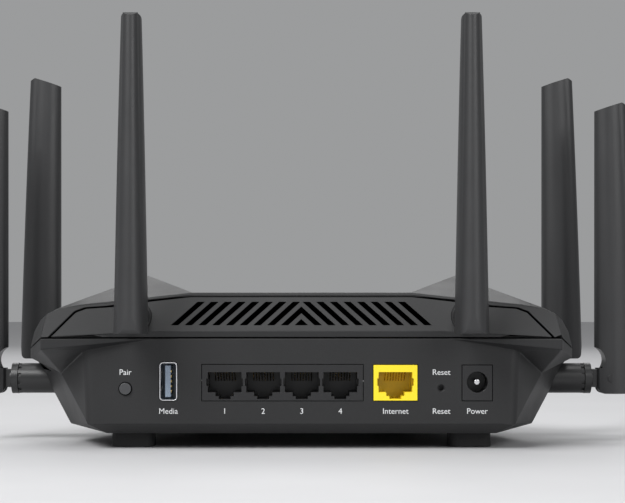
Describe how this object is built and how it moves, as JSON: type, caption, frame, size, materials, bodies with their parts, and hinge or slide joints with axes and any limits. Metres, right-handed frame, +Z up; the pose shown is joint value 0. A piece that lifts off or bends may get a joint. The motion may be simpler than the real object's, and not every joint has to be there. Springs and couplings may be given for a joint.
{
  "type": "wireless router",
  "caption": "Faceted desktop wireless router with folding blade antennas, slanted rear vent slots and a panel of network, USB and power sockets.",
  "frame": {"origin": "on the desk, under the middle of the object's box with the antennas upright", "axes": "+Z up, -Y the way the socket panel faces, +X to the right when looking at the socket panel"},
  "size_m": [0.2618, 0.1843, 0.1556],
  "materials": {
    "case_plastic": "fine matte texture",
    "grille_plastic": "fine matte texture",
    "antenna_plastic": "satin matte",
    "hinge_plastic": "satin matte",
    "steel": "plated",
    "chrome": "bright plated",
    "copper": "bare copper",
    "gold": "gold plated",
    "board": "solder mask",
    "jack_plastic": "moulded",
    "wan_plastic": "moulded, satin",
    "usb_plastic": "moulded",
    "chip": "moulded epoxy",
    "parts": "sleeved cans",
    "aluminium": "extruded",
    "rubber": "matte",
    "light": "translucent",
    "led": "clear epoxy",
    "button_plastic": "satin",
    "lead_jacket": "extruded jacket"
  },
  "bodies": {
    "case": {"bottom_case": "case_plastic", "top_cover": "case_plastic", "rear_grille": "grille_plastic", "antenna_bushings": "hinge_plastic", "main_board": "board", "light_pipe": "light", "indicator_leds": "led", "lan_jack_block": "jack_plastic", "lan_contacts": "gold", "wan_jack_block": "wan_plastic", "wan_contacts": "gold", "usb_shell": "chrome", "usb_tongue": "usb_plastic", "usb_contacts": "gold", "dc_jack_housing": "jack_plastic", "dc_jack_pin": "chrome", "pair_switch": "chip", "reset_switch": "chip", "heat_sink": "aluminium", "processor_chips": "chip", "shield_cans": "steel", "power_parts": "parts", "rubber_feet": "rubber", "case_screws": "steel", "board_screws": "steel", "coax_leads": "lead_jacket"},
    "knuckle_rear_right": {"ant_rear_right_knuckle": "hinge_plastic"},
    "blade_rear_right": {"ant_rear_right_blade_front": "antenna_plastic", "ant_rear_right_blade_back": "antenna_plastic", "ant_rear_right_radiator": "copper", "ant_rear_right_pin": "hinge_plastic"},
    "knuckle_rear_left": {"ant_rear_left_knuckle": "hinge_plastic"},
    "blade_rear_left": {"ant_rear_left_blade_front": "antenna_plastic", "ant_rear_left_blade_back": "antenna_plastic", "ant_rear_left_radiator": "copper", "ant_rear_left_pin": "hinge_plastic"},
    "knuckle_side_right": {"ant_side_right_knuckle": "hinge_plastic"},
    "blade_side_right": {"ant_side_right_blade_front": "antenna_plastic", "ant_side_right_blade_back": "antenna_plastic", "ant_side_right_radiator": "copper", "ant_side_right_pin": "hinge_plastic"},
    "knuckle_side_left": {"ant_side_left_knuckle": "hinge_plastic"},
    "blade_side_left": {"ant_side_left_blade_front": "antenna_plastic", "ant_side_left_blade_back": "antenna_plastic", "ant_side_left_radiator": "copper", "ant_side_left_pin": "hinge_plastic"},
    "knuckle_front_right": {"ant_front_right_knuckle": "hinge_plastic"},
    "blade_front_right": {"ant_front_right_blade_front": "antenna_plastic", "ant_front_right_blade_back": "antenna_plastic", "ant_front_right_radiator": "copper", "ant_front_right_pin": "hinge_plastic"},
    "knuckle_front_left": {"ant_front_left_knuckle": "hinge_plastic"},
    "blade_front_left": {"ant_front_left_blade_front": "antenna_plastic", "ant_front_left_blade_back": "antenna_plastic", "ant_front_left_radiator": "copper", "ant_front_left_pin": "hinge_plastic"},
    "pair_button": {"pair_button_cap": "button_plastic", "pair_switch_plunger": "jack_plastic"},
    "reset_button": {"reset_plunger": "jack_plastic"}
  },
  "joints": [
    {"name": "rear_right_swivel", "type": "hinge", "parent": "case", "child": "knuckle_rear_right", "pos_m": [0.0604, -0.08175, 0.048], "axis": [0, -1, 0], "range_deg": [-90, 90]},
    {"name": "rear_right_fold", "type": "hinge", "parent": "knuckle_rear_right", "child": "blade_rear_right", "pos_m": [0.0604, -0.08175, 0.048], "axis": [1, 0, 0], "range_deg": [0, 90]},
    {"name": "rear_left_swivel", "type": "hinge", "parent": "case", "child": "knuckle_rear_left", "pos_m": [-0.0604, -0.08175, 0.048], "axis": [0, -1, 0], "range_deg": [-90, 90]},
    {"name": "rear_left_fold", "type": "hinge", "parent": "knuckle_rear_left", "child": "blade_rear_left", "pos_m": [-0.0604, -0.08175, 0.048], "axis": [1, 0, 0], "range_deg": [0, 90]},
    {"name": "side_right_swivel", "type": "hinge", "parent": "case", "child": "knuckle_side_right", "pos_m": [0.1206, -0.01175, 0.024], "axis": [1, 0, 0], "range_deg": [-90, 90]},
    {"name": "side_right_fold", "type": "hinge", "parent": "knuckle_side_right", "child": "blade_side_right", "pos_m": [0.1206, -0.01175, 0.024], "axis": [0, 1, 0], "range_deg": [0, 90]},
    {"name": "side_left_swivel", "type": "hinge", "parent": "case", "child": "knuckle_side_left", "pos_m": [-0.1206, -0.01175, 0.024], "axis": [1, 0, 0], "range_deg": [-90, 90]},
    {"name": "side_left_fold", "type": "hinge", "parent": "knuckle_side_left", "child": "blade_side_left", "pos_m": [-0.1206, -0.01175, 0.024], "axis": [0, -1, 0], "range_deg": [0, 90]},
    {"name": "front_right_swivel", "type": "hinge", "parent": "case", "child": "knuckle_front_right", "pos_m": [0.1035, 0.01725, 0.037], "axis": [1, 0, 0], "range_deg": [-90, 60]},
    {"name": "front_right_fold", "type": "hinge", "parent": "knuckle_front_right", "child": "blade_front_right", "pos_m": [0.1035, 0.01725, 0.037], "axis": [0, 1, 0], "range_deg": [0, 90]},
    {"name": "front_left_swivel", "type": "hinge", "parent": "case", "child": "knuckle_front_left", "pos_m": [-0.1035, 0.01725, 0.037], "axis": [1, 0, 0], "range_deg": [-90, 60]},
    {"name": "front_left_fold", "type": "hinge", "parent": "knuckle_front_left", "child": "blade_front_left", "pos_m": [-0.1035, 0.01725, 0.037], "axis": [0, -1, 0], "range_deg": [0, 90]},
    {"name": "pair_button_press", "type": "slide", "parent": "case", "child": "pair_button", "axis": [0, 1, 0], "range_m": [0, 0.0006], "stiffness_N_per_m": 2500, "springref_m": -0.0002},
    {"name": "reset_press", "type": "slide", "parent": "case", "child": "reset_button", "axis": [0, 1, 0], "range_m": [0, 0.0004], "stiffness_N_per_m": 2500, "springref_m": -0.0002}
  ]
}
